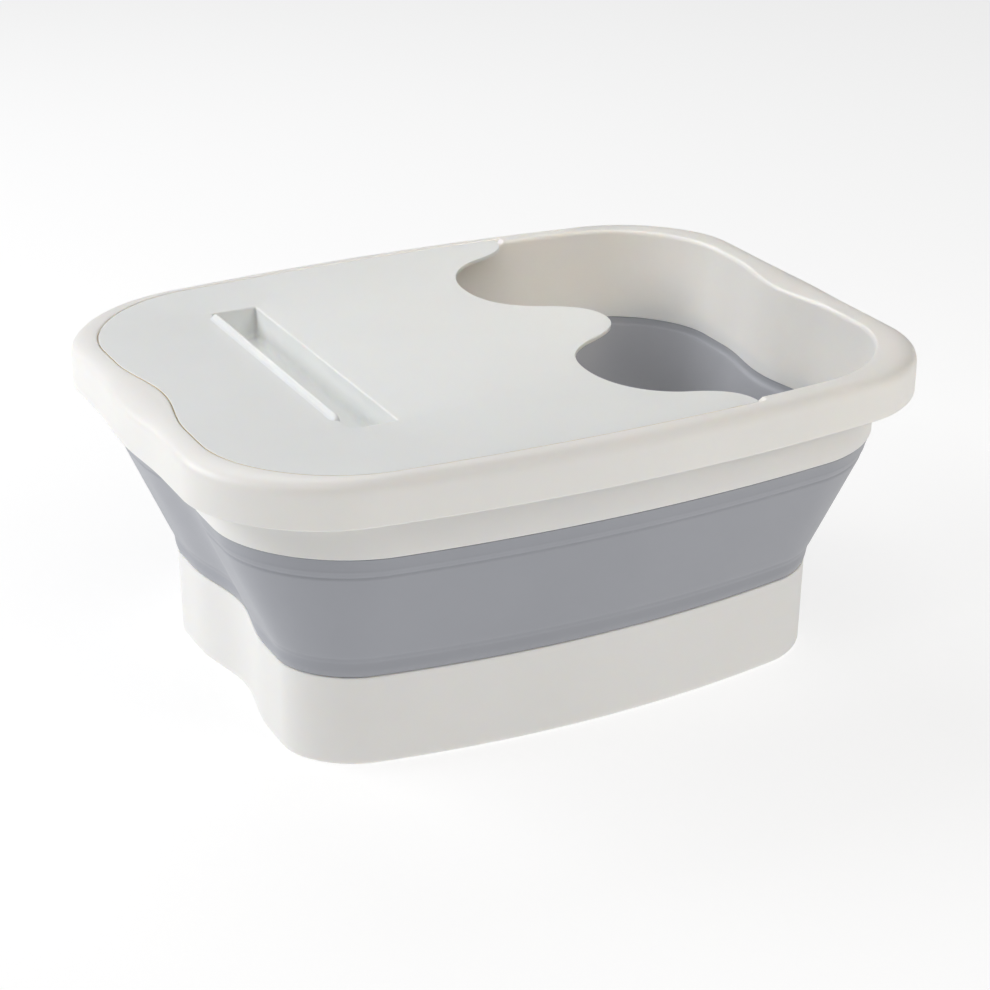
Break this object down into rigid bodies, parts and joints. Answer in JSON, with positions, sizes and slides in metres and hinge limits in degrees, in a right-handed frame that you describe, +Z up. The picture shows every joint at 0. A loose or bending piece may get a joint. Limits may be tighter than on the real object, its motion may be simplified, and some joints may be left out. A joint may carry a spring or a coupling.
{
  "type": "collapsible foot spa basin",
  "caption": "Folding foot soaking tub: hard base and rim joined by a creased rubber wall, half lid with ankle cut-outs and phone slot, floor massage rollers.",
  "frame": {"origin": "on the floor, under the middle of the basin", "axes": "+X along the basin's length towards the user, where the lid is open; +Y to the user's right; +Z up"},
  "size_m": [0.476, 0.362, 0.2058],
  "materials": {
    "shell_white": "fine moulded texture, soft sheen",
    "lid_white": "fine moulded texture, matte",
    "wall_rubber": "smooth matte thermoplastic rubber",
    "roller_grey": "satin",
    "cradle_white": "satin",
    "pad_rubber": "matte",
    "axle_steel": "drawn wire"
  },
  "bodies": {
    "base": {"base_tub": "shell_white", "folding_wall": "wall_rubber", "foot_pad_near_right": "pad_rubber", "foot_pad_far_right": "pad_rubber", "foot_pad_far_left": "pad_rubber", "foot_pad_near_left": "pad_rubber", "roller_cradle_left": "cradle_white", "roller_axle_left_1": "axle_steel", "roller_axle_left_2": "axle_steel", "roller_axle_left_3": "axle_steel", "roller_axle_left_4": "axle_steel", "roller_cradle_right": "cradle_white", "roller_axle_right_1": "axle_steel", "roller_axle_right_2": "axle_steel", "roller_axle_right_3": "axle_steel", "roller_axle_right_4": "axle_steel"},
    "rim": {"rim_ring": "shell_white"},
    "lid": {"lid": "lid_white"},
    "roller_left_1": {"massage_roller_left_1": "roller_grey"},
    "roller_left_2": {"massage_roller_left_2": "roller_grey"},
    "roller_left_3": {"massage_roller_left_3": "roller_grey"},
    "roller_left_4": {"massage_roller_left_4": "roller_grey"},
    "roller_right_1": {"massage_roller_right_1": "roller_grey"},
    "roller_right_2": {"massage_roller_right_2": "roller_grey"},
    "roller_right_3": {"massage_roller_right_3": "roller_grey"},
    "roller_right_4": {"massage_roller_right_4": "roller_grey"}
  },
  "joints": [
    {"name": "collapse", "type": "slide", "parent": "base", "child": "rim", "axis": [0, 0, -1], "range_m": [0, 0.126], "deforming": ["folding_wall"]},
    {"name": "lid_lift", "type": "slide", "parent": "rim", "child": "lid", "axis": [0, 0, 1], "range_m": [0, 0.15]},
    {"name": "roller_left_1_spin", "type": "hinge", "parent": "base", "child": "roller_left_1", "pos_m": [-0.057, -0.058, 0.0196], "axis": [0, 1, 0], "continuous": true},
    {"name": "roller_left_2_spin", "type": "hinge", "parent": "base", "child": "roller_left_2", "pos_m": [-0.019, -0.058, 0.0196], "axis": [0, 1, 0], "continuous": true},
    {"name": "roller_left_3_spin", "type": "hinge", "parent": "base", "child": "roller_left_3", "pos_m": [0.019, -0.058, 0.0196], "axis": [0, 1, 0], "continuous": true},
    {"name": "roller_left_4_spin", "type": "hinge", "parent": "base", "child": "roller_left_4", "pos_m": [0.057, -0.058, 0.0196], "axis": [0, 1, 0], "continuous": true},
    {"name": "roller_right_1_spin", "type": "hinge", "parent": "base", "child": "roller_right_1", "pos_m": [-0.057, 0.058, 0.0196], "axis": [0, 1, 0], "continuous": true},
    {"name": "roller_right_2_spin", "type": "hinge", "parent": "base", "child": "roller_right_2", "pos_m": [-0.019, 0.058, 0.0196], "axis": [0, 1, 0], "continuous": true},
    {"name": "roller_right_3_spin", "type": "hinge", "parent": "base", "child": "roller_right_3", "pos_m": [0.019, 0.058, 0.0196], "axis": [0, 1, 0], "continuous": true},
    {"name": "roller_right_4_spin", "type": "hinge", "parent": "base", "child": "roller_right_4", "pos_m": [0.057, 0.058, 0.0196], "axis": [0, 1, 0], "continuous": true}
  ]
}
